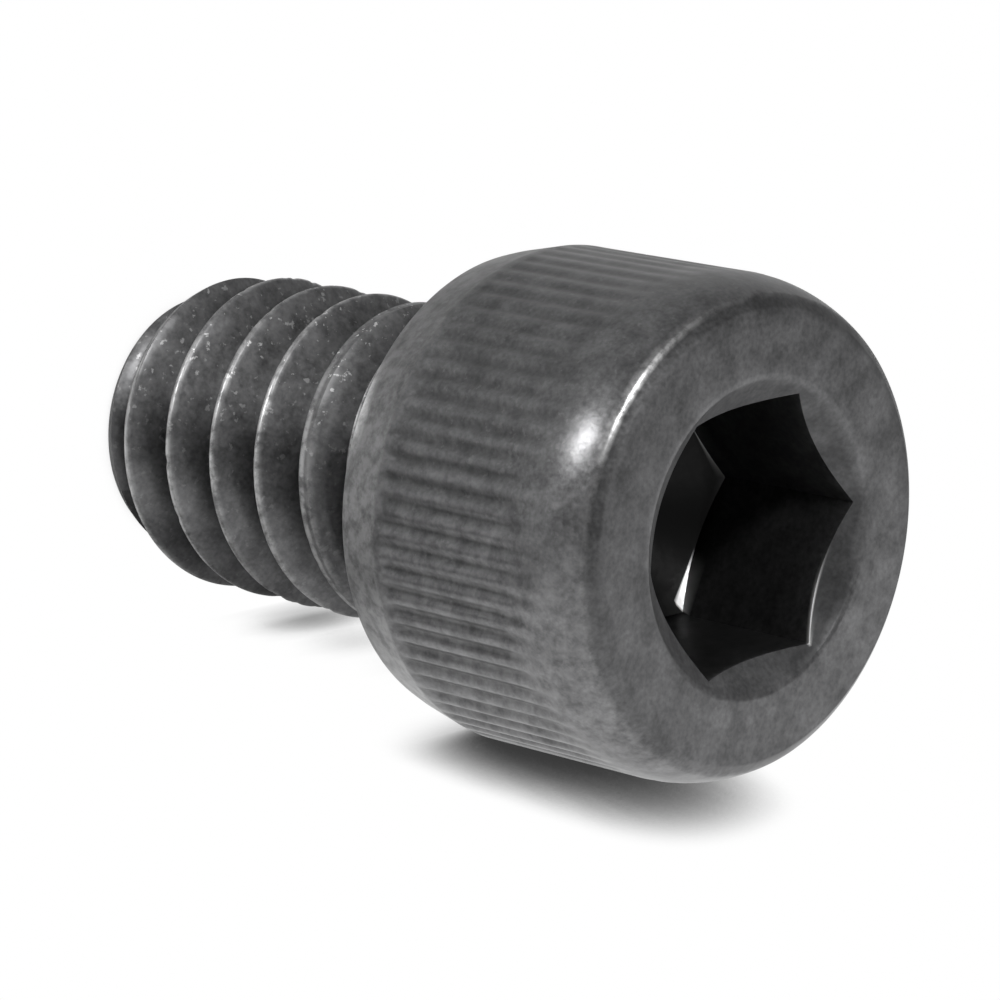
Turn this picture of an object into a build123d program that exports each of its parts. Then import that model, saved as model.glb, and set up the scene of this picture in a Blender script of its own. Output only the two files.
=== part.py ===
"""Short socket head cap screw, 1/4-20 UNC, threaded to the head, 9 mm long under it.

The screw stands on its threaded end. +Z runs along its axis from the point to the head, and the origin is
the centre of the point's flat end. The head's hexagonal socket opens upwards. Sizes are in mm.
"""
from build123d import *

import os
from math import radians, sqrt, tan

# Driving dimensions
major_diameter = 6.35            # 1/4 in
pitch = 1.27                     # 20 threads to the inch
head_diameter = 9.525            # 3/8 in
head_height = 6.35               # 1/4 in
shank_length = 8.77              # bearing face to point, a 3/8 in screw at its lower limit
socket_flats = 4.8               # takes a 3/16 in hexagon key
socket_depth = 3.5               # face to the lower end of the hexagon's walls
knurl_count = 72                 # grooves round the head

# Heights along the axis
seat_z = shank_length            # bearing face
face_z = seat_z + head_height    # top of the head

# Thread: a 60 degree groove with a narrow flat root and a narrow flat crest beside it
major_radius = major_diameter / 2
thread_depth = 0.629 * pitch
flank_slope = tan(radians(30))
groove_mouth = pitch * 7 / 8
groove_root = groove_mouth - 2 * thread_depth * flank_slope
cutter_overrun = 0.06            # the cutter's reach outside the crest
cutter_start_z = -1.762          # below the point; it sets where the crest comes out of the chamfer
thread_turns = 8

# Point: flat end with a long chamfer, on which the first crest grows to its full height
point_radius = 2.55
point_height = 1.25

# Neck: the relief where the thread runs out under the head
neck_clearance = 0.056           # how far the neck lies inside the groove's root
neck_length = 1.4
neck_taper = 0.4
neck_fillet = 0.86
neck_radius = major_radius - thread_depth - neck_clearance
neck_start_z = seat_z - neck_length

# Head: broken lower edge, tapered plain band, knurl, shoulder, bevelled rim and flat face
head_radius = head_diameter / 2
seat_outer_radius = 4.42
band_radius = 4.5                # lower end of the plain band
lower_edge_height = 0.07
band_height = 1.2
shoulder_height = 1.38
rim_radius = 4.468
rim_height = 0.222
face_radius = 4.197
lower_edge_z = seat_z + lower_edge_height
band_z = seat_z + band_height
shoulder_z = face_z - shoulder_height
rim_z = face_z - rim_height

# Socket: countersunk mouth, hexagon and drilled bottom
mouth_radius = 2.96
mouth_slope = tan(radians(36))
drill_radius = 2.3
drill_slope = tan(radians(31))
floor_z = face_z - socket_depth

# Knurl: shallow grooves along the head that fade out at both ends
knurl_depth = 0.09
knurl_mouth = 0.36               # width of a groove at the head's surface
knurl_root = 0.06
knurl_overrun = 0.05             # the cutter's reach outside the head
knurl_bottom_gap = 1.15          # bearing face to the lower ends of the grooves
knurl_top_gap = 1.12             # upper ends of the grooves to the head's face
knurl_run_in = 0.2
knurl_run_out = 0.8
knurl_start_z = seat_z + knurl_bottom_gap
knurl_end_z = face_z - knurl_top_gap
knurl_outer_width = knurl_mouth + (knurl_mouth - knurl_root) * knurl_overrun / knurl_depth

os.makedirs("parts", exist_ok=True)

# Cutter for one turn of the thread groove, swept along a right-hand helix
with BuildPart() as thread_cutter:
    with BuildLine() as thread_path:
        Helix(pitch, pitch, major_radius, center=(0, 0, cutter_start_z))
    with BuildSketch(
        Plane(origin=thread_path.line @ 0, x_dir=(1, 0, 0), z_dir=thread_path.line % 0)
    ):
        with BuildLine():
            Polyline(
                (-thread_depth, groove_root / 2),
                (cutter_overrun, groove_mouth / 2 + cutter_overrun * flank_slope),
                (cutter_overrun, -groove_mouth / 2 - cutter_overrun * flank_slope),
                (-thread_depth, -groove_root / 2),
                close=True,
            )
        make_face()
    sweep(path=thread_path.line, is_frenet=True)

# Cutter for one groove of the knurl: it narrows from the head's surface to the root and slopes at its ends
with BuildPart() as knurl_cutter:
    with Locations((head_radius + knurl_overrun, 0, knurl_start_z)):
        Wedge(
            knurl_outer_width,
            knurl_overrun + knurl_depth,
            knurl_end_z - knurl_start_z,
            (knurl_outer_width - knurl_root) / 2,
            knurl_run_in,
            (knurl_outer_width + knurl_root) / 2,
            knurl_end_z - knurl_start_z - knurl_run_out,
            rotation=(0, 0, 90),
            align=(Align.CENTER, Align.MIN, Align.MIN),
        )

with BuildPart() as cap_screw:
    # Shank blank: chamfered point, thread diameter and neck
    with BuildSketch(Plane.XZ):
        with BuildLine():
            Polyline(
                (0, 0),
                (point_radius, 0),
                (major_radius, point_height),
                (major_radius, neck_start_z),
                (neck_radius, neck_start_z + neck_taper),
                (neck_radius, seat_z),
                (0, seat_z),
                close=True,
            )
        make_face()
    revolve(axis=Axis.Z)

    # Thread groove, cut turn by turn up into the neck
    with Locations(*[(0, 0, turn * pitch) for turn in range(thread_turns)]):
        add(thread_cutter.part, mode=Mode.SUBTRACT)

    # Head with the fillet that joins it to the neck
    with BuildSketch(Plane.XZ):
        with BuildLine():
            Polyline(
                (0, face_z),
                (0, seat_z - neck_fillet),
                (neck_radius, seat_z - neck_fillet),
            )
            RadiusArc(
                (neck_radius, seat_z - neck_fillet),
                (neck_radius + neck_fillet, seat_z),
                neck_fillet,
            )
            Polyline(
                (neck_radius + neck_fillet, seat_z),
                (seat_outer_radius, seat_z),
                (band_radius, lower_edge_z),
                (head_radius, band_z),
                (head_radius, shoulder_z),
            )
            TangentArc((head_radius, shoulder_z), (rim_radius, rim_z), tangent=(0, 1))
            Polyline((rim_radius, rim_z), (face_radius, face_z), (0, face_z))
        make_face()
    revolve(axis=Axis.Z)

    # Hexagonal socket
    with BuildSketch(Plane.XY.offset(face_z)):
        RegularPolygon(socket_flats / sqrt(3), 6)
    extrude(amount=-socket_depth, mode=Mode.SUBTRACT)

    # Drilled bottom of the socket and its countersunk mouth
    with BuildSketch(Plane.XZ):
        with BuildLine():
            Polyline(
                (0, floor_z),
                (drill_radius, floor_z),
                (0, floor_z - drill_radius * drill_slope),
                close=True,
            )
        make_face()
        with BuildLine():
            Polyline(
                (0, face_z),
                (mouth_radius, face_z),
                (0, face_z - mouth_radius * mouth_slope),
                close=True,
            )
        make_face()
    revolve(axis=Axis.Z, mode=Mode.SUBTRACT)

    # Knurl round the head
    with PolarLocations(0, knurl_count, start_angle=180 / knurl_count):
        add(knurl_cutter.part, mode=Mode.SUBTRACT)

cap_screw.part.label = "cap_screw"
export_step(cap_screw.part, "parts/cap_screw.step")
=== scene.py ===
# %% [markdown]
# # A short socket head cap screw
# This lesson dresses one small steel fastener: a quarter-inch screw with a knurled head, a hexagonal
# socket and a coarse thread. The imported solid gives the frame, the size and the way the screw stands. Its
# surface is plain, so one finer skin takes its place, worked out with arrays in the same frame, and a
# material gives that skin the dark, worn look of the real one.

# %% Load the fixed frame
from math import atan2, cos, degrees, pi, radians, sin, tan

import bpy
import numpy as np
from mathutils import Matrix, Vector


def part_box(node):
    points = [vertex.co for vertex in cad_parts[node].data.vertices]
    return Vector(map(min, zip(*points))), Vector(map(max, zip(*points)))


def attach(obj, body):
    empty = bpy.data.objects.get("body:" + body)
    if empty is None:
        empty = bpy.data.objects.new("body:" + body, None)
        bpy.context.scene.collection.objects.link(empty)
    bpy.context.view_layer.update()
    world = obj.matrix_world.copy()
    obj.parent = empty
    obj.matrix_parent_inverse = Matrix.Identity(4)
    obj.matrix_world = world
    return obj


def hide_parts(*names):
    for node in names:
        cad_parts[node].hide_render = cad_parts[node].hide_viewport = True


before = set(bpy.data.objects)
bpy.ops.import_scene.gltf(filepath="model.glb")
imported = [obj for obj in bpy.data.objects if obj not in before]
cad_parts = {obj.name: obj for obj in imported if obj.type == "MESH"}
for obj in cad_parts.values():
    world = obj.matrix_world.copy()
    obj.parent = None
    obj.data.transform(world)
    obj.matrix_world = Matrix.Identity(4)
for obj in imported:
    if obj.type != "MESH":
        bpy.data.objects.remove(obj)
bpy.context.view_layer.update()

# %% [markdown]
# ## Sizes
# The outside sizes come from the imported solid, and the rest are the screw's own proportions. Everything is
# worked out in millimetres and turned into metres once, when the mesh is made, because numbers near 1 are
# easier to read and to change than thousandths.

# %% Sizes in millimetres
MM = 0.001
box_low, box_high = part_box("cap_screw")
clearance = 0.0002               # how far the skin stays inside the solid's sides
head_radius = (box_high.x - box_low.x) / 2 / MM - clearance
head_height = 6.35
face_z = box_high.z / MM
seat_z = face_z - head_height    # the bearing face under the head
major_radius, root_radius, pitch = 3.175, 2.377, 1.27
point_radius, point_height = 2.55, 1.25
neck_radius, neck_fillet = 2.32, 0.86
neck_z = seat_z - neck_fillet
print("bearing face at", round(seat_z, 3), "mm, head radius", round(head_radius, 4), "mm")

# %% [markdown]
# ## Soft shapes
# Every edge of a worn screw is a little round. Instead of bevelling edges afterwards, the surfaces are
# blended while they are worked out: the lower of two radii is taken, with a small rounding where they cross.
# The same few curves later fade the wear in and out.


# %% Blends and bumps
def soft_min(a, b, blend):
    """The lower of a and b, rounded off over about the blend where they cross."""
    return 0.5 * (a + b - np.sqrt((a - b) ** 2 + blend**2))


def soft_max(a, b, blend):
    """The higher of a and b, rounded off over about the blend where they cross."""
    return 0.5 * (a + b + np.sqrt((a - b) ** 2 + blend**2))


def smooth_step(x, start, end):
    """0 before start, 1 after end, and the curve 3t^2 - 2t^3 between them."""
    t = np.clip((x - start) / (end - start), 0, 1)
    return t * t * (3 - 2 * t)


def bell(x, width):
    """A bump of height 1 at x = 0, e to the power -(x / width)^2."""
    return np.exp(-((x / width) ** 2))


def turned_from(angle, line):
    """Angle from a line of the surface to a point, the short way round, within half a turn each way."""
    return (angle - line + pi) % (2 * pi) - pi


print("smooth step half way:", float(smooth_step(0.5, 0, 1)))
print("bell one width out:", round(float(bell(1, 1)), 3))

# %% [markdown]
# ## The camera
# The camera is made before the object, so that each piece can be looked at as soon as it exists. It looks
# down on the head from in front, rolled so that the screw's axis runs across the picture. A long lens keeps
# the perspective of so small a thing calm.

# %% Camera
camera_aim = Vector((0.315, 0.045, 8.561)) * MM
camera_distance = 94.92 * MM
camera_azimuth, camera_elevation, camera_roll = radians(8.11), radians(43.37), radians(102.18)

back = Vector(
    (
        sin(camera_azimuth) * cos(camera_elevation),
        -cos(camera_azimuth) * cos(camera_elevation),
        sin(camera_elevation),
    )
)
level_right = Vector((cos(camera_azimuth), sin(camera_azimuth), 0))
level_up = back.cross(level_right)
camera_up = cos(camera_roll) * level_up - sin(camera_roll) * level_right
camera_right = camera_up.cross(back)
camera_turn = Matrix((camera_right, camera_up, back)).transposed()

camera_data = bpy.data.cameras.new("camera")
camera_data.lens = 178.8
camera_data.sensor_width = 36
camera_data.clip_start = 0.002
camera_data.clip_end = 10
camera = bpy.data.objects.new("camera", camera_data)
camera.matrix_world = Matrix.Translation(camera_aim + back * camera_distance) @ camera_turn.to_4x4()
bpy.context.scene.collection.objects.link(camera)
bpy.context.scene.camera = camera
bpy.context.scene.view_settings.view_transform = "Standard"
print("camera at", [round(v / MM, 2) for v in camera.matrix_world.translation], "mm")

# %% [markdown]
# ## Nicks on the crests
# A screw that has lain among others has small dents in its crests. They could be painted with a bump, but
# then the edge of the thread would stay perfect in outline, so they are hollows in the shape itself. Each one
# sits on a crest, and seeded random numbers give the same nicks every time.

# %% Nicks
crest_z = 0.143                  # height of the first crest on the +X side
NICKS = 60
nick_random = np.random.default_rng(7)
nick_angle = nick_random.uniform(0, 2 * pi, NICKS)
nick_turn = nick_random.integers(1, 6, NICKS)
nick_z = crest_z + pitch * (nick_turn + nick_angle / (2 * pi)) + nick_random.normal(0, 0.03, NICKS)
nick_width = nick_random.uniform(0.05, 0.09, NICKS)
nick_depth = nick_random.uniform(0.01, 0.035, NICKS)


def nick_hollows(angle, z):
    """Depth of the nicks: the sum of bumps, each its depth times e to the power -(distance / width)^2."""
    hollow = np.zeros(np.broadcast(angle, z).shape)
    for spot_angle, spot_z, width, depth in zip(nick_angle, nick_z, nick_width, nick_depth):
        across = turned_from(angle, spot_angle) * major_radius
        hollow += depth * bell(np.hypot(across, z - spot_z), width)
    return hollow


print("nicks:", NICKS, "deepest", round(float(nick_depth.max()), 3), "mm")

# %% [markdown]
# ## The thread
# A rolled thread is a helical ridge with flanks 30 degrees off square and crests worn round. It could be a
# profile swept along a helix, but then the chamfered point and the neck would need cutting. Here the thread
# is a formula instead: a radius for every angle and height. On its last turn before the head the ridge lies
# a little higher and is wider, and a shallow lap runs along its crest, where the rolled metal closed over
# itself.

# %% Thread radius
crest_half = 0.055               # half the width of a worn crest
flank_slope = tan(radians(30))
thread_blend = 0.05              # rounding of crests and roots
run_start, run_full = 5.0, 5.6   # heights on the +X side between which the last turn takes over
last_shift, last_growth, lap_depth = 0.085, 0.11, 0.04
taper_z, taper_height = seat_z - 1.4, 0.4    # where the ridge falls away to the neck
point_blend, neck_blend, taper_blend = 0.03, 0.14, 0.1


def thread_turn(angle, z):
    """Turns above the first crest: (z - crest_z) / pitch - angle / full turn. A whole number is a crest."""
    return (z - crest_z) / pitch - angle / (2 * pi)


def run_out(angle, z):
    """0 on the full thread and 1 on its last turn. It grows from 0 degrees round to 60, and one pitch further
    up it stays at 1, so that the end of a turn meets the start of the next."""
    climbed = z - pitch * angle / (2 * pi)
    begun = smooth_step(angle, 0, radians(60))
    next_turn = smooth_step(climbed, run_start + pitch, run_full + pitch)
    return smooth_step(climbed, run_start, run_full) * np.maximum(begun, next_turn)


def crest_offset(angle, z):
    """Signed distance in mm from the middle of the nearest crest, measured along the axis."""
    turns = thread_turn(angle, z)
    return (turns - np.round(turns)) * pitch - last_shift * run_out(angle, z)


def shank_radius(angle, z):
    """Radius of the thread. Away from the nearest crest it falls with a 30 degree flank down to the root. The
    point's long chamfer and the neck's taper limit it. The lap and the nicks are taken off near the crest."""
    last = run_out(angle, z)
    offset = crest_offset(angle, z)
    half = crest_half + last_growth * last
    flank = major_radius - (np.abs(offset) - half) / flank_slope
    radius = soft_max(soft_min(major_radius, flank, thread_blend), root_radius, thread_blend)
    radius = radius - lap_depth * last * bell(offset, 0.06) * smooth_step(radius, 2.9, 3.1)
    chamfer = point_radius + (major_radius - point_radius) * z / point_height
    taper = major_radius - (z - taper_z) * (major_radius - neck_radius) / taper_height
    radius = soft_min(radius, chamfer, point_blend)
    radius = soft_min(radius, soft_max(taper, neck_radius, neck_blend), taper_blend)
    return radius - nick_hollows(angle, z) * smooth_step(radius, 2.6, 3.1)


middle_z = seat_z / 2
print("radius half way up:", round(float(shank_radius(0.0, middle_z)), 3), "mm")

# %% [markdown]
# ## The shank as one sheet
# A grid of level rows would cut the crests at a slant and fray them. The rows of this sheet climb with the
# helix, so the crests and roots lie along rows and stay sharp with few faces. Rows are close together at the
# crest and wide apart on the flanks. Each column keeps only the rows between the point and the neck, and rows
# beyond them are held at its two ends.

# %% Rows and columns of the shank
COLUMNS = 324                    # round the shank; six times 54, so the socket's corners fall on columns
thread_phases = np.array(
    [-0.5, -0.45, -0.41, -0.34, -0.24, -0.15, -0.09, -0.06, -0.035]
    + [0.0, 0.035, 0.06, 0.09, 0.15, 0.24, 0.34, 0.41, 0.45]
)
ROWS_PER_TURN = len(thread_phases)
first_turn, turn_end = -2, 7     # enough turns to pass both ends of the shank
closest_row = 0.012              # rows nearer than this to an end are left out

column_number = np.arange(COLUMNS)
column_angle = 2 * pi * column_number / COLUMNS
row_phase = (np.arange(first_turn, turn_end)[:, None] + thread_phases[None, :]).ravel()
row_count = len(row_phase)
climb = pitch * (row_phase[:, None] + column_angle[None, :] / (2 * pi)) + crest_z
first_row = (climb > closest_row).argmax(0)
last_row = row_count - 1 - (climb < neck_z - closest_row)[::-1].argmax(0)
print("rows:", row_count, "of which a column keeps", int((last_row - first_row).min()) + 1, "or more")


# %% Shank points
def place(radius, angle, z):
    """Points (radius cos angle, radius sin angle, z), one row of the array for each."""
    radius, angle, z = np.broadcast_arrays(radius, angle, z)
    return np.stack([radius * np.cos(angle), radius * np.sin(angle), z], axis=-1)


sheet_angle = np.broadcast_to(column_angle, (row_count, COLUMNS))
sheet_z = climb.copy()
sheet_z[first_row - 1, column_number] = 0
sheet_z[last_row + 1, column_number] = neck_z
sheet_radius = shank_radius(sheet_angle, np.clip(sheet_z, 0, neck_z))
sheet_points = place(sheet_radius, sheet_angle, sheet_z)
print("shank points:", sheet_points.shape)

# %% Shank triangles
row_number = np.arange(row_count)
held_row = np.clip(row_number[:, None], first_row - 1, last_row + 1)
sheet_index = held_row * COLUMNS + column_number

# The column after the last is the first again, one pitch further up
row_a_turn_up = np.minimum(row_number + ROWS_PER_TURN, row_count - 1)
wrapped = np.concatenate([sheet_index, sheet_index[row_a_turn_up, :1]], axis=1)
low_left, low_right = wrapped[:-1, :-1], wrapped[:-1, 1:]
high_left, high_right = wrapped[1:, :-1], wrapped[1:, 1:]
sheet_faces = np.concatenate(
    [np.stack([low_left, low_right, high_right], -1), np.stack([low_left, high_right, high_left], -1)]
).reshape(-1, 3)

# Held rows give triangles with a corner used twice, and those are left out
has_area = (
    (sheet_faces[:, 0] != sheet_faces[:, 1])
    & (sheet_faces[:, 1] != sheet_faces[:, 2])
    & (sheet_faces[:, 0] != sheet_faces[:, 2])
)
sheet_faces = sheet_faces[has_area]
print("shank sheet:", len(sheet_faces), "triangles")

# %% [markdown]
# ## The knurl
# Straight grooves round the head give fingers a grip. They are rolled in, so each has soft edges and they run
# out before the shoulder. A bump in the material would leave the head's outline smooth, so the grooves are
# taken off the radius of the side. They are shallower on the side that has rubbed most.

# %% Knurl
knurl_count, knurl_depth, knurl_half = 72, 0.075, 0.19
band_radius, band_height = 4.5, 1.2
knurl_start_z, knurl_end_z = seat_z + band_height, face_z - 0.9
fade_in, fade_out = 0.25, 1.5
rubbed_side, rubbed_spread, rubbed_share = radians(215), radians(45), 0.72


def knurl_groove(angle, z):
    """Depth of the knurl: a squared cosine across each groove, full along the middle of the head, fading out
    before the shoulder and less deep on the rubbed side."""
    phase = angle * knurl_count / (2 * pi) - 0.5
    across = np.abs(phase - np.round(phase)) * 2 * pi * head_radius / knurl_count
    shape = np.where(across < knurl_half, np.cos(across * pi / 2 / knurl_half) ** 2, 0)
    along = smooth_step(z, knurl_start_z, knurl_start_z + fade_in)
    along = along * (1 - smooth_step(z, knurl_end_z - fade_out, knurl_end_z))
    kept_depth = 1 - rubbed_share * bell(turned_from(angle, rubbed_side), rubbed_spread)
    return knurl_depth * shape * along * kept_depth


print("knurl:", knurl_count, "grooves from", round(knurl_start_z, 2), "to", round(knurl_end_z, 2), "mm")


# %% [markdown]
# ## The head in rings
# The head is turned, so it is made of rings: a list of radius and height along its outline, each carried
# round the axis. From the neck the outline goes up a fillet, across the bearing face, up a slightly tapered
# band and the side, over a round shoulder and a bevelled rim to the face. A Spin would do the same, but rings
# of numbers can also take the knurl. The rings of the side have twice as many points, so that each groove
# gets nine.


# %% Rings below the knurl
def arc(centre_r, centre_z, radius, start, end, count):
    """Radius and height of count points on an arc, from start to end degrees above the horizontal."""
    t = np.radians(np.linspace(start, end, count))
    return np.stack([centre_r + radius * np.cos(t), centre_z + radius * np.sin(t)], 1)


def ring_block(outline, columns):
    """The outline's points carried round the axis: one ring of columns points for each."""
    angle = 2 * pi * np.arange(columns) / columns
    return place(outline[:, :1], angle[None, :], outline[:, 1:])


seat_round = 0.1                 # rounding of the bearing face's outer edge
fillet_line = arc(neck_radius + neck_fillet, neck_z, -neck_fillet, 0, -90, 9)[1:]
seat_line = np.array([[3.5, seat_z], [4.0, seat_z], [4.38, seat_z]])
edge_line = arc(4.4, seat_z + seat_round, seat_round, -80, -12, 5)
band_share = np.array([0.3, 0.6])
band_line = np.stack(
    [band_radius + band_share * (head_radius - band_radius), seat_z + band_height * band_share], 1
)
head_low = np.concatenate([fillet_line, seat_line, edge_line, band_line])
print("rings below the knurl:", len(head_low))

# %% Rings of the side, the shoulder and the rim
shoulder_z, rim_z = face_z - 1.38, face_z - 0.222
rim_radius, face_radius = 4.468, 4.197
shoulder_drop, shoulder_rise = head_radius - rim_radius, rim_z - shoulder_z
shoulder_arc = (shoulder_rise**2 + shoulder_drop**2) / (2 * shoulder_drop)
shoulder_end = degrees(atan2(shoulder_rise, shoulder_arc - head_radius + rim_radius))

side_z = np.concatenate([[seat_z + 1.1], np.linspace(knurl_start_z, shoulder_z - 0.03, 24)])
side_r = np.minimum(head_radius, band_radius + (side_z - seat_z) / band_height * (head_radius - band_radius))
shoulder_line = arc(head_radius - shoulder_arc, shoulder_z, shoulder_arc, 2, shoulder_end - 1.0, 10)
rim_line = np.array(
    [
        [rim_radius + 0.004, rim_z - 0.01],
        [rim_radius - 0.025, rim_z + 0.025],
        [4.38, face_z - 0.15],
        [4.26, face_z - 0.052],
        [face_radius + 0.01, face_z - 0.012],
    ]
)
side_line = np.concatenate([np.stack([side_r, side_z], 1), shoulder_line, rim_line])
side_columns = 2 * COLUMNS
side_angle = 2 * pi * np.arange(side_columns) / side_columns
side_radius = side_line[:, :1] - knurl_groove(side_angle[None, :], side_line[:, 1:])
side_points = place(side_radius, side_angle[None, :], side_line[:, 1:])
print("rings on the side:", len(side_line))

# %% [markdown]
# ## The socket
# A hexagonal key turns the screw, so the socket is a drilled hole that was broached to six flat walls. It
# could be cut out of the head with a Boolean, but that leaves long thin triangles. The hexagon is a radius
# that changes with the angle, so the socket can be made of rings too. They go down the cone of the
# countersunk mouth, along the walls to a small sloping foot, and into the drilled cone below. Because the
# number of columns is a multiple of six, a column stands in every corner.

# %% Rings of the face and the mouth
socket_half = 4.8 / 2
mouth_radius, mouth_slope = 2.96, tan(radians(36))


def hexagon_radius(angle):
    """Distance from the axis to a side of the hexagon: half the size across flats over the cosine of the
    angle from the middle of that side. The corners lie at 0 degrees, 60 and so on."""
    return socket_half / np.cos(angle % (pi / 3) - pi / 6)


face_line = np.array([[r, face_z] for r in (4.1, 3.9, 3.6, 3.3, 3.05)] + [[mouth_radius, face_z - 0.008]])
face_points = ring_block(face_line, COLUMNS)
hexagon = hexagon_radius(column_angle)[None, :]
mouth_share = np.array([0.12, 0.4, 0.7, 0.93, 1.0])[:, None]
mouth_r = mouth_radius + mouth_share * (hexagon - mouth_radius)
mouth_points = place(mouth_r, column_angle, face_z - (mouth_radius - mouth_r) * mouth_slope)
print("rings of the face:", len(face_points), "and of the mouth:", len(mouth_points))

# %% Rings of the walls, the foot and the drilled cone
floor_z = face_z - 3.5
drill_radius, drill_slope = 2.3, tan(radians(31))
foot_height, foot_inset, foot_slope = 0.36, 0.06, 0.5
least_ledge = 0.03               # the foot is at least this wide, also in the middle of a side

wall_top = face_z - (mouth_radius - hexagon) * mouth_slope
wall_share = np.array([0.03, 0.1, 0.3, 0.55, 0.8, 1.0])[:, None]
wall_points = place(hexagon, column_angle, wall_top + wall_share * (floor_z + foot_height - wall_top))
foot_edge = np.maximum(hexagon - foot_inset, drill_radius + least_ledge)
foot_r = drill_radius + np.array([1.0, 0.6, 0.4])[:, None] * (foot_edge - drill_radius)
foot_points = place(foot_r, column_angle, floor_z + foot_slope * (foot_r - drill_radius))
cone_share = np.array([0, 0.015, 0.35, 0.7, 0.92])
cone_line = np.stack([drill_radius * (1 - cone_share), floor_z - drill_radius * cone_share * drill_slope], 1)
cone_points = ring_block(cone_line, COLUMNS)
cone_tip = np.array([[0, 0, floor_z - drill_radius * drill_slope]])
socket_points = np.concatenate([face_points, mouth_points, wall_points, foot_points, cone_points])
print("rings inside:", len(socket_points), "down to", round(float(cone_tip[0, 2]), 2), "mm")

# %% [markdown]
# ## Joining the skin
# The real screw is one piece of steel, so its skin is one closed mesh. Rings with the same number of points
# are joined by pairs of triangles. Where the fine rings of the knurl meet the coarser ones, each coarse step
# meets two fine ones in three triangles. The two poles are closed by a fan. All triangles turn the same way,
# so every face points outwards.


# %% Triangles between rings
def join_equal(low, high):
    """Triangles between two rings of the same count."""
    low_next, high_next = np.roll(low, -1), np.roll(high, -1)
    return np.concatenate([np.stack([low, low_next, high_next], 1), np.stack([low, high_next, high], 1)])


def join_to_finer(low, high):
    """Triangles from a ring to one with twice as many points."""
    low_next = np.roll(low, -1)
    even, odd, after = high[0::2], high[1::2], np.roll(high[0::2], -1)
    triples = [low, low_next, odd], [low, odd, even], [low_next, after, odd]
    return np.concatenate([np.stack(triple, 1) for triple in triples])


def join_to_coarser(low, high):
    """Triangles from a ring to one with half as many points."""
    high_next = np.roll(high, -1)
    even, odd, after = low[0::2], low[1::2], np.roll(low[0::2], -1)
    triples = [even, odd, high], [odd, after, high_next], [odd, high_next, high]
    return np.concatenate([np.stack(triple, 1) for triple in triples])


def join_rings(low, high):
    """Triangles between two rings, the lower one first, whatever their counts."""
    if len(low) == len(high):
        return join_equal(low, high)
    return join_to_finer(low, high) if len(low) < len(high) else join_to_coarser(low, high)


print("triangles from 6 points to 12:", len(join_rings(np.arange(6), np.arange(6, 18))))


# %% Put the skin together
class Skin:
    """Blocks of points and triangles, kept in the order in which they are added."""

    def __init__(self):
        self.points, self.faces, self.count = [], [], 0

    def add_points(self, points):
        """Adds points and returns their numbers."""
        self.points.append(points)
        self.count += len(points)
        return np.arange(self.count - len(points), self.count)

    def add_rings(self, rings, below):
        """Adds rings above the one that is given and returns the highest."""
        for points in rings:
            ring = self.add_points(points)
            self.faces.append(join_rings(below, ring))
            below = ring
        return below


skin = Skin()
skin.add_points(sheet_points.reshape(-1, 3))
skin.faces.append(sheet_faces)
ring = skin.add_rings(ring_block(head_low, COLUMNS), sheet_index[-1])
ring = skin.add_rings(side_points, ring)
ring = skin.add_rings(socket_points, ring)
tip = np.repeat(skin.add_points(cone_tip), COLUMNS)
skin.faces.append(np.stack([ring, np.roll(ring, -1), tip], 1))
print("points so far:", skin.count)

# %% Close the point
# The flat end, from its edge in to the middle
end_share = np.array([[0.97], [0.6], [0.2]])
above = sheet_index[0]
for points in place(end_share * sheet_radius[first_row - 1, column_number], column_angle, 0.0):
    ring = skin.add_points(points)
    skin.faces.append(join_rings(ring, above))
    above = ring
middle = np.repeat(skin.add_points(np.zeros((1, 3))), COLUMNS)
skin.faces.append(np.stack([np.roll(above, -1), above, middle], 1))

# Points that no triangle uses are left out, and the rest are numbered again
kept, skin_faces = np.unique(np.concatenate(skin.faces), return_inverse=True)
skin_faces = skin_faces.reshape(-1, 3)
skin_points = np.concatenate(skin.points)[kept]
print("skin:", len(skin_points), "points,", len(skin_faces), "triangles")


# %% [markdown]
# ## One mesh in the frame
# The skin rides on the screw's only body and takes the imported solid's place. Vertices could be added one by
# one, but foreach_set hands over whole arrays, which is many times quicker. The mesh is shaded smooth,
# because rolled and turned steel is, and only folds above 38 degrees stay sharp, as the broached corners of
# the socket do.


# %% Make the mesh
def mesh_object(name, points, faces):
    """A mesh object from points in millimetres and triangles, with smooth shading."""
    mesh = bpy.data.meshes.new(name)
    mesh.vertices.add(len(points))
    mesh.vertices.foreach_set("co", (points * MM).ravel())
    mesh.loops.add(faces.size)
    mesh.loops.foreach_set("vertex_index", faces.ravel())
    mesh.polygons.add(len(faces))
    mesh.polygons.foreach_set("loop_start", np.arange(0, faces.size, 3))
    mesh.update(calc_edges=True)
    mesh.validate()
    mesh.shade_smooth()
    piece = bpy.data.objects.new(name, mesh)
    bpy.context.scene.collection.objects.link(piece)
    return piece


screw = mesh_object("cap_screw_skin", skin_points, skin_faces)
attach(screw, "root")
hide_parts("cap_screw")
sharp_angle = radians(38)
screw.data.set_sharp_from_angle(angle=sharp_angle)
print("piece:", screw.name, "with", len(screw.data.polygons), "faces")


# %% Measure the skin
def edge_uses(faces):
    """How many triangles share each edge; 2 everywhere on a closed skin."""
    edges = np.sort(np.concatenate([faces[:, :2], faces[:, 1:], faces[:, ::2]]), axis=1)
    return np.unique(edges, axis=0, return_counts=True)[1]


def enclosed_volume(points, faces):
    """A sixth of the sum of corner . (corner x corner) over the triangles; above 0 if they face outwards."""
    a, b, c = points[faces].transpose(1, 0, 2)
    return np.einsum("ij,ij->i", a, np.cross(b, c)).sum() / 6


closed = bool((edge_uses(skin_faces) == 2).all())
print("closed:", closed, "volume", round(float(enclosed_volume(skin_points, skin_faces)), 2), "mm3")

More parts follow.
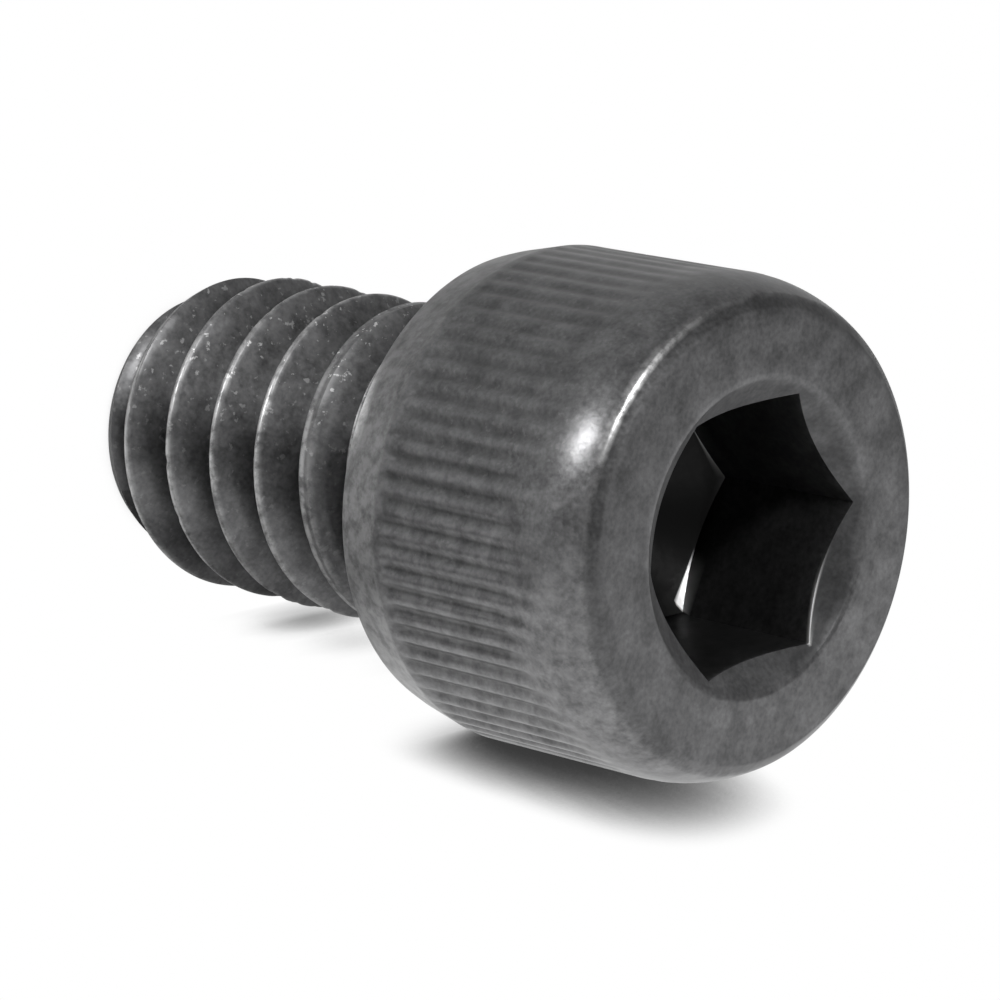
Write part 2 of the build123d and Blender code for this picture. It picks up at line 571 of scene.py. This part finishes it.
# %% [markdown]
# ## Where the surface has changed, and painted light and shade
# The crests of the thread and the rim of the head have lost their black, and some places are duller than
# others. Light and shade are also painted into the colour: shade in the grooves, the roots and the socket,
# light on the side facing the card, and glints on the rim, the seat and in the socket. All of this follows
# the shape, so it can't come from noise alone. Six masks between 0 and 1 are worked out for each point and
# kept as attributes of the mesh, where the material reads them. They could be painted by hand, but numbers
# can be changed and tried again. First comes where each point lies. Directions are degrees round the axis
# from the x axis.

# %% Where each point lies
x, y, z = skin_points.T
radius = np.hypot(x, y)
angle = np.arctan2(y, x) % (2 * pi)
turned = np.degrees(angle)
on_shank = z < neck_z
on_head = z > seat_z
last = run_out(angle, z)
offset = np.abs(crest_offset(angle, z))
in_socket = (radius < 2.9) & (z > floor_z - 2)
wall_top_here = face_z - (mouth_radius - hexagon_radius(angle)) * mouth_slope
near_seat = (z > seat_z - 0.01) * (radius > 4.37)


def on_side(centre, width):
    """1 on the line of the surface at this many degrees from the x axis, and less the further round it is."""
    return bell((turned - centre + 180) % 360 - 180, width)


def most(*masks):
    """The highest of several masks at each point."""
    return np.maximum.reduce(np.broadcast_arrays(*masks))


# A painted glint: a short bright streak on the rounded edge of the seat, at one side only.
painted_seat_glint = near_seat * (z < seat_z + 0.12) * on_side(268, 10)
print("points on the shank:", int(on_shank.sum()), "and in the socket:", int(in_socket.sum()))

# %% [markdown]
# ## Wear and painted light
# Where the screw has rubbed on others the black is thin and grey steel shows through. Wear could be read from
# how sharp the mesh is, but that treats all edges alike. Here each place that sticks out has a mask of its
# own, stronger on the side that was handled most, and the highest of them counts. The same mask also paints
# light: the head and its band are lighter on the side facing the card, the rim has a painted highlight on
# one side and the seat a painted glint.

# %% Wear and painted light
crest_line = most(bell(offset, 0.06) * (1 - last), last * (0.05 * (offset < 0.2) + bell(offset - 0.16, 0.03)))
crest_wear = on_shank * (crest_line * (0.35 + 0.65 * on_side(310, 50))) * smooth_step(radius, 2.4, 2.65)
flank_wear = on_shank * 0.07 * on_side(232, 50)
rim_side = turned_from(angle, radians(247))      # where the rim's painted highlight is brightest and its bevel's painted shade darkest
# Wear along the rim's ridge, with a painted highlight added on one side.
rim_ridge = bell(np.hypot(radius - rim_radius + 0.02, z - rim_z), 0.055)
rim_wear_and_highlight = rim_ridge * (0.12 + 0.88 * bell(rim_side, 0.33))
# Painted light: the side of the head that faces the card is lighter, as if the card lit it.
lower_side_painted_light = 0.09 * (radius > 4.4) * on_head * on_side(330, 50)
face_wear = 0.05 * (z > face_z - 0.01) * on_side(70, 60)
# Light wear on the band above the seat, with painted light on the side that faces the card.
on_band = (radius > 4.4) * (z > seat_z - 0.01) * (z < knurl_start_z - 0.02)
band_wear_and_painted_light = (0.06 + 0.22 * on_side(325, 65)) * on_band
knurl_end_wear = 0.25 * (radius > 4.6) * bell(z - knurl_start_z + 0.05, 0.04)
wear_and_painted_light = most(crest_wear, flank_wear, rim_wear_and_highlight, lower_side_painted_light, face_wear, band_wear_and_painted_light, knurl_end_wear, painted_seat_glint)
print("worn points:", int((wear_and_painted_light > 0.5).sum()))

# %% [markdown]
# ## Painted glints and bare steel
# Glints are painted into the colour as nearly white steel: on the ledge at the foot of the socket and on the
# edge of its mouth, on one side only, and as a streak on the seat. The lowest crests are nearly as bright, as
# bare steel. These spots stand out from everything round them, so they get their own mask instead of more
# wear.

# %% Painted glints and bare steel
at_foot = in_socket & (z < floor_z + 0.3)
on_ledge = at_foot & (radius > drill_radius - 0.01)
ledge_width = np.maximum(hexagon_radius(angle) - foot_inset - drill_radius, least_ledge)
ledge_share = (radius - drill_radius) / ledge_width
# Painted glints on the ledge at the socket's foot: a bright wedge near one corner and a faint line further
# round.
painted_ledge_glint = on_ledge * (ledge_share > 0.55) * (turned > 60.5) * (1 - smooth_step(turned, 76, 88))
faint_ledge_glint = 0.25 * (on_ledge & (ledge_share > 0.9)) * on_side(150, 20)
# A painted glint along part of the edge of the socket's mouth.
mouth_edge = (radius < mouth_radius) * bell(z - wall_top_here, 0.012)
painted_mouth_glint = mouth_edge * (turned > 59) * (1 - smooth_step(turned, 68, 105))
bare_crest = 0.6 * on_shank * (z < 1.8) * bell(offset, 0.05) * on_side(285, 28)
glints_and_bare = most(painted_ledge_glint, faint_ledge_glint, painted_mouth_glint, bare_crest, 0.4 * painted_seat_glint)
print("bare points:", int((glints_and_bare > 0.5).sum()))

# %% [markdown]
# ## Painted shade
# Little light reaches the socket, the roots of the thread and the knurl. The renderer finds part of that
# shade by itself, and more is painted into the colour, along with shade on the upper side of the head, the
# rim's bevel and one side of the mouth. There are two masks, because the painted shade inside the socket is
# nearly black while the rest only darkens the grey that is there.

# %% Painted shade in the socket
# Painted shade: the socket's walls darken downwards to a nearly black foot, except where the glints are
# painted.
down_the_wall = 0.4 * smooth_step(wall_top_here - z, 0.03, 0.5)
painted_socket_shade = in_socket * most(down_the_wall, at_foot) * (1 - np.minimum(glints_and_bare, 1))
print("points in the recess:", int((painted_socket_shade > 0.5).sum()))

# %% Painted shade in the grooves and on the darker sides
# Painted shade: the knurl grooves and the thread's roots are darker, the roots less so on the upper side, and
# the last turn of the thread is darker too.
knurl_painted_shade = knurl_groove(angle, z) / knurl_depth * (radius > 4.5)
below_seat = (z > 0.3) * (z < seat_z - 0.01)
root_painted_shade = below_seat * smooth_step(3.05 - radius, 0, 0.45) * (1 - 0.4 * on_side(240, 45))
painted_shade = most(knurl_painted_shade, root_painted_shade, 0.45 * on_shank * last)
# Painted shade on the upper side of the head, where less light falls.
head_shade = 0.52 * (radius > 4.3) * on_head * on_side(220, 62)
painted_shade = 1 - (1 - np.minimum(painted_shade, 1)) * (1 - head_shade)
# Painted shade on the rim's bevel, darkest on the side of the rim's painted highlight.
on_bevel = (radius < rim_radius - 0.02) * (radius > face_radius + 0.02) * (z > rim_z - 0.02)
bevel_shade = 0.5 * on_bevel * (0.5 + 0.5 * np.cos(rim_side))
# Painted shade in the socket's mouth, darkest on one side.
in_mouth = smooth_step(mouth_radius - radius, 0, 0.12) * (z > wall_top_here - 0.02)
painted_shade = most(painted_shade, bevel_shade, in_mouth * (0.12 + 0.9 * on_side(85, 45)))
print("points in grooves:", int((painted_shade > 0.5).sum()))

# %% [markdown]
# ## Dull places and specks
# Cut and rolled places shine less than turned ones: the mouth, the last turn of the thread and the edge of
# the face. Fine pale specks lie mostly on one side of the shank, where the black has flaked. The roughness
# could vary by noise alone, but then dull and shiny would fall anywhere.

# %% Matte and speckled
speck_side = on_side(238, 38)
face_edge = bell(radius - face_radius + 0.03, 0.09) * (z > face_z - 0.1)
matte = most(in_mouth, on_shank * last * (radius > 2.9), face_edge, painted_seat_glint, 0.5 * on_shank * speck_side)
shank_specks = on_shank * (0.1 + 0.9 * speck_side) * (0.35 + 0.65 * bell(offset - 0.05, 0.16))
speckled = shank_specks + 0.05 * (radius > 4.4)
print("matte points:", int((matte > 0.5).sum()), "speckled points:", int((speckled > 0.5).sum()))

# %% Keep the masks
masks = dict(wear_and_painted_light=wear_and_painted_light, glints_and_bare=glints_and_bare, painted_socket_shade=painted_socket_shade, painted_shade=painted_shade, matte=matte, speckled=speckled)
for name, values in masks.items():
    attribute = screw.data.attributes.new(name, "FLOAT", "POINT")
    attribute.data.foreach_set("value", values.astype(np.float32))
print("masks:", ", ".join(masks))

# %% [markdown]
# ## Black oxide
# Black oxide is a thin dark skin on bare steel: it shines softly like the metal under it, and its grey
# changes from place to place. A picture could carry that, but it would blur close up, so the colour, the
# roughness and the fine relief come from noise in millimetres. A few small helpers keep the nodes readable.


# %% Node helpers
def new_tree(holder):
    """The empty node tree of a material or a world."""
    holder.use_nodes = True
    holder.node_tree.nodes.clear()
    return holder.node_tree


def node(tree, kind, **settings):
    """A new node, with its properties and its unlinked inputs set by name."""
    made = tree.nodes.new(kind)
    for key, value in settings.items():
        if key in made.inputs:
            made.inputs[key].default_value = value
        else:
            setattr(made, key, value)
    return made


def link(source, socket, target, plug):
    """Joins an output to an input."""
    target.id_data.links.new(source.outputs[socket], target.inputs[plug])


def attribute_value(tree, name):
    """The value that a named attribute of the mesh holds."""
    return node(tree, "ShaderNodeAttribute", attribute_name=name)


oxide = bpy.data.materials.new("black_oxide")
oxide_tree = new_tree(oxide)
print("empty material:", oxide.name)


# %% Layer helpers
def remap(source, from_low, from_high, to_low, to_high):
    """A straight change of scale of a node's value, held at both ends."""
    made = node(source.id_data, "ShaderNodeMapRange")
    for plug, value in zip(made.inputs[1:5], (from_low, from_high, to_low, to_high)):
        plug.default_value = value
    link(source, "Fac", made, "Value")
    return made


def times(source, socket, mask):
    """A value times the mask of that name."""
    made = node(source.id_data, "ShaderNodeMath", operation="MULTIPLY")
    link(source, socket, made, 0)
    link(attribute_value(source.id_data, mask), "Fac", made, 1)
    return made


def scaled(source, socket, factor):
    """A colour made lighter or darker by a value."""
    made = node(source.id_data, "ShaderNodeMix", data_type="RGBA", blend_type="MULTIPLY", Factor=1.0)
    link(source, socket, made, "A")
    link(factor, "Result", made, "B")
    return made


def covered(source, mask, mask_socket, grey):
    """A colour with a grey laid over it where the mask is 1."""
    made = node(source.id_data, "ShaderNodeMix", data_type="RGBA")
    made.inputs["B"].default_value = (grey, grey, grey, 1)
    link(mask, mask_socket, made, "Factor")
    link(source, "Result", made, "A")
    return made


print("helpers for layers: remap, times, scaled, covered")


# %% Noise in millimetres
def noise(scale, detail, roughness):
    """Noise with so many lumps to the millimetre."""
    made = node(oxide_tree, "ShaderNodeTexNoise", Scale=scale, Detail=detail, Roughness=roughness)
    link(millimetres, "Vector", made, "Vector")
    return made


oxide_output = node(oxide_tree, "ShaderNodeOutputMaterial")
steel = node(oxide_tree, "ShaderNodeBsdfPrincipled", Metallic=0.9)
link(steel, "BSDF", oxide_output, "Surface")
coordinates = node(oxide_tree, "ShaderNodeTexCoord")
millimetres = node(oxide_tree, "ShaderNodeVectorMath", operation="SCALE", Scale=1 / MM)
link(coordinates, "Object", millimetres, 0)

mottle = noise(1.7, 4.0, 0.6)
grain = noise(11.0, 2.0, 0.5)
patches = noise(3.4, 5.0, 0.65)
speck_blobs = noise(6.0, 3.0, 0.6)
ripple = noise(4.0, 2.0, 0.5)
print("noises made")

# %% [markdown]
# ## Layers of colour
# The colour is built in layers, each over the one before. The mottled grey comes first, with a fine grain,
# and painted shade darkens it in the grooves, the thread's roots and the darker sides of the head. Over it
# lie the wear together with painted light on the side facing the card and a painted highlight on the rim,
# broken up by its own noise, then the specks, the painted shade of the socket and last the painted glints and
# bare steel. One colour ramp could hold all these greys, but then no layer could be changed by itself.

# %% Colour
oxide_grey = node(oxide_tree, "ShaderNodeValToRGB")
ramp = oxide_grey.color_ramp.elements
ramp[0].position, ramp[0].color = 0.32, (0.097, 0.097, 0.099, 1)
ramp[1].position, ramp[1].color = 0.68, (0.17, 0.17, 0.173, 1)
link(mottle, "Fac", oxide_grey, "Fac")
grained = scaled(oxide_grey, "Color", remap(grain, 0.3, 0.7, 0.82, 1.18))
# Painted shade: darker in the grooves, the thread's roots and on the darker sides of the head.
painted_shaded = scaled(grained, "Result", remap(attribute_value(oxide_tree, "painted_shade"), 0.0, 1.0, 1.1, 0.5))
# Wear, with painted light on the side facing the card and a painted highlight on the rim.
wear_and_light_patches = times(remap(patches, 0.38, 0.58, 0.2, 1.0), "Result", "wear_and_painted_light")
worn_and_lit = covered(painted_shaded, wear_and_light_patches, "Value", 0.75)
specks = times(remap(speck_blobs, 0.62, 0.68, 0.0, 1.0), "Result", "speckled")
specked = covered(worn_and_lit, specks, "Value", 0.7)
# Painted shade: the socket nearly black.
socket_shaded = covered(specked, attribute_value(oxide_tree, "painted_socket_shade"), "Fac", 0.012)
# Painted glints, nearly white, and the bare lowest crests.
bright = covered(socket_shaded, attribute_value(oxide_tree, "glints_and_bare"), "Fac", 0.95)
link(bright, "Result", steel, "Base Color")
print("colour layers made")

# %% [markdown]
# ## Shine and relief
# The oxide is a soft mirror: lamps show in it as blurred spots. The roughness follows the same grain as the
# colour and rises where the matte mask says so. The relief is a hundredth of a millimetre deep, too fine for
# the mesh, so it is a bump.

# %% Roughness and relief
matte_gain = 0.3                 # how much rougher the matte places are
roughness = node(oxide_tree, "ShaderNodeMath", operation="MULTIPLY_ADD")
roughness.inputs[1].default_value = matte_gain
link(attribute_value(oxide_tree, "matte"), "Fac", roughness, 0)
link(remap(grain, 0.3, 0.7, 0.29, 0.36), "Result", roughness, 2)
link(roughness, "Value", steel, "Roughness")

relief = node(oxide_tree, "ShaderNodeBump", Strength=0.5, Distance=0.01 * MM)
link(ripple, "Fac", relief, "Height")
link(relief, "Normal", steel, "Normal")
screw.data.materials.append(oxide)
print("material:", oxide.name, "with", len(oxide_tree.nodes), "nodes")

# %% [markdown]
# ## Floor and card
# The screw stands on its point on a pale floor. A white card leans on the head and just clears the thread,
# and gives the metal on that side something pale to mirror. One bent sheet could do for both, but two flat
# ones are easier to place: each is a few strips, with its own contact shadow and brightness along every line
# across it.


# %% Sheets of the stage
def stage_sheet(name, rows, shadow, glow):
    """A sheet of the stage in strips: rows holds the two ends of each line across it, and shadow and glow say
    how much contact shadow it takes and how bright metal sees it along each line."""
    mesh = bpy.data.meshes.new(name)
    corners = [Vector(corner) * MM for row in rows for corner in row]
    faces = [(2 * i, 2 * i + 1, 2 * i + 3, 2 * i + 2) for i in range(len(rows) - 1)]
    mesh.from_pydata(corners, [], faces)
    for attribute_name, values in (("shadow", shadow), ("glow", glow)):
        attribute = mesh.attributes.new(attribute_name, "FLOAT", "POINT")
        attribute.data.foreach_set("value", np.repeat(values, 2).astype(np.float32))
    sheet = bpy.data.objects.new(name, mesh)
    bpy.context.scene.collection.objects.link(sheet)
    return sheet


floor_half = 300
floor_rows = [[(-floor_half, y, 0), (floor_half, y, 0)] for y in (-floor_half, floor_half)]
floor = stage_sheet("floor", floor_rows, [1, 1], [1, 1])

card_side, card_half, card_gap = radians(25.6), 90, 0.02
outward = Vector((cos(card_side), sin(card_side), 0))
sideways = Vector((-sin(card_side), cos(card_side), 0))
lean = (head_radius - major_radius) / (knurl_start_z - point_height)
card_rise = Vector((0, 0, 1)) + outward * lean
touch = outward * (head_radius + card_gap) + Vector((0, 0, knurl_start_z))
card_rows = []
for row_z in (2.3, 3.2, 8.0, 9.2, 80.0):
    row_middle = touch + card_rise * (row_z - knurl_start_z)
    card_rows.append([row_middle + sideways * card_half, row_middle - sideways * card_half])
card = stage_sheet("card", card_rows, [0, 1, 0.8, 1, 1], [0.2, 0.25, 0.9, 1, 1])
print("card leans", round(degrees(atan2(lean, 1)), 1), "degrees")


# %% [markdown]
# ## White paper
# Paper lit by lamps comes out grey at its far end, so here it is white by itself, whatever the lamps do. Its
# shadow comes from the share of open space above each place, which keeps it close to where metal touches.
# Metal sees the paper darker or brighter, line by line. Seen from behind the paper is clear, so the card
# never hides the screw.


# %% What each ray sees
def ray_share(tree, glossy):
    """How far a ray sees plain white: 1 for the camera's rays and for rays through glass, and the given share
    for rays that metal reflects."""
    rays = node(tree, "ShaderNodeLightPath")
    reflected = node(tree, "ShaderNodeMath", operation="MULTIPLY")
    reflected.inputs[1].default_value = glossy
    link(rays, "Is Glossy Ray", reflected, 0)
    seen = node(tree, "ShaderNodeMath", operation="MAXIMUM")
    link(rays, "Is Camera Ray", seen, 0)
    link(rays, "Is Transmission Ray", seen, 1)
    share = node(tree, "ShaderNodeMath", operation="MAXIMUM")
    link(seen, "Value", share, 0)
    link(reflected, "Value", share, 1)
    return share


print("plain white for camera rays and rays through glass")


# %% Contact shadow
def contact_brightness(tree, darkest, near, far):
    """Brightness of the paper: 1 + shadow mask * (darkest - 1) where the share of open space is near, rising
    smoothly to 1 where it is far. Metal sees the glow mask instead."""
    openness = node(tree, "ShaderNodeAmbientOcclusion", samples=16, Distance=1.4 * MM)
    contact = node(tree, "ShaderNodeMapRange", interpolation_type="SMOOTHSTEP")
    contact.inputs["From Min"].default_value = near
    contact.inputs["From Max"].default_value = far
    contact.inputs["To Min"].default_value = darkest - 1
    contact.inputs["To Max"].default_value = 0
    link(openness, "AO", contact, "Value")
    shaded = node(tree, "ShaderNodeMath", operation="MULTIPLY_ADD")
    shaded.inputs[2].default_value = 1
    link(contact, "Result", shaded, 0)
    link(attribute_value(tree, "shadow"), "Fac", shaded, 1)
    brightness = node(tree, "ShaderNodeMix", data_type="FLOAT")
    link(node(tree, "ShaderNodeLightPath"), "Is Glossy Ray", brightness, "Factor")
    link(shaded, "Value", brightness, "A")
    link(attribute_value(tree, "glow"), "Fac", brightness, "B")
    return brightness


print("contact shadow from the share of open space")


# %% Paper on the floor and the card
def paper_material(name, glossy, darkest, near, far):
    """White paper, plain white but for the contact shadow on its front, and clear on its back."""
    material = bpy.data.materials.new(name)
    tree = new_tree(material)
    output = node(tree, "ShaderNodeOutputMaterial")
    paper = node(tree, "ShaderNodeBsdfDiffuse", Color=(0.9, 0.9, 0.9, 1))
    white = node(tree, "ShaderNodeEmission", Color=(1, 1, 1, 1))
    link(contact_brightness(tree, darkest, near, far), "Result", white, "Strength")
    front = node(tree, "ShaderNodeMixShader")
    link(ray_share(tree, glossy), "Value", front, "Fac")
    link(paper, "BSDF", front, 1)
    link(white, "Emission", front, 2)
    one_sided = node(tree, "ShaderNodeMixShader")
    link(node(tree, "ShaderNodeNewGeometry"), "Backfacing", one_sided, "Fac")
    link(front, "Shader", one_sided, 1)
    link(node(tree, "ShaderNodeBsdfTransparent"), "BSDF", one_sided, 2)
    link(one_sided, "Shader", output, "Surface")
    return material


floor.data.materials.append(paper_material("floor_paper", glossy=0.05, darkest=0.3, near=0.0, far=0.4))
card.data.materials.append(paper_material("card_paper", glossy=1.0, darkest=0.04, near=0.08, far=0.85))
print("paper on", floor.name, "and", card.name)

# %% [markdown]
# ## The room
# Dark metal shows what is around it. The room that it sees is a plain grey, and the camera sees plain white
# in the same place. A picture of a real room would put windows and furniture on every crest.

# %% World
world = bpy.data.worlds.new("pale_room")
bpy.context.scene.world = world
world_tree = new_tree(world)
world_output = node(world_tree, "ShaderNodeOutputWorld")
room = node(world_tree, "ShaderNodeBackground", Color=(1, 1, 1, 1), Strength=0.26)
backdrop = node(world_tree, "ShaderNodeBackground", Color=(1, 1, 1, 1), Strength=1.0)
surroundings = node(world_tree, "ShaderNodeMixShader")
link(ray_share(world_tree, 0.1), "Value", surroundings, "Fac")
link(room, "Background", surroundings, 1)
link(backdrop, "Background", surroundings, 2)
link(surroundings, "Shader", world_output, "Surface")
print("world:", world.name)

# %% [markdown]
# ## Three lamps
# Three small square lamps give the bright spots. One from the front and one from above it light the shoulder
# and the crests, and a faint one overhead reaches into the socket. Larger lamps would spread over the whole
# head and hide its knurl. They are kept low, so that colours come out about as they are written.

# %% Lamps
lamp_target = Vector((0, 0, 14)) * MM    # near the face of the head
lamp_distance = 120


def soft_lamp(name, direction, size, power):
    """A square lamp that stands off from the head in a direction and faces it, its size in millimetres."""
    data = bpy.data.lights.new(name, "AREA")
    data.shape = "SQUARE"
    data.size = size * MM
    data.energy = power
    lamp = bpy.data.objects.new(name, data)
    toward = Vector(direction).normalized()
    lamp.location = lamp_target + toward * lamp_distance * MM
    lamp.rotation_mode = "QUATERNION"
    lamp.rotation_quaternion = (-toward).to_track_quat("-Z", "Y")
    bpy.context.scene.collection.objects.link(lamp)
    return lamp


lamps = [
    soft_lamp("front_window", (-0.25, -0.96, -0.11), size=8, power=0.08),
    soft_lamp("high_window", (-0.526, -0.666, 0.53), size=12, power=0.06),
    soft_lamp("ceiling", (-0.378, -0.037, 0.923), size=10, power=0.008),
]
print("lamps:", ", ".join(lamp.name for lamp in lamps))
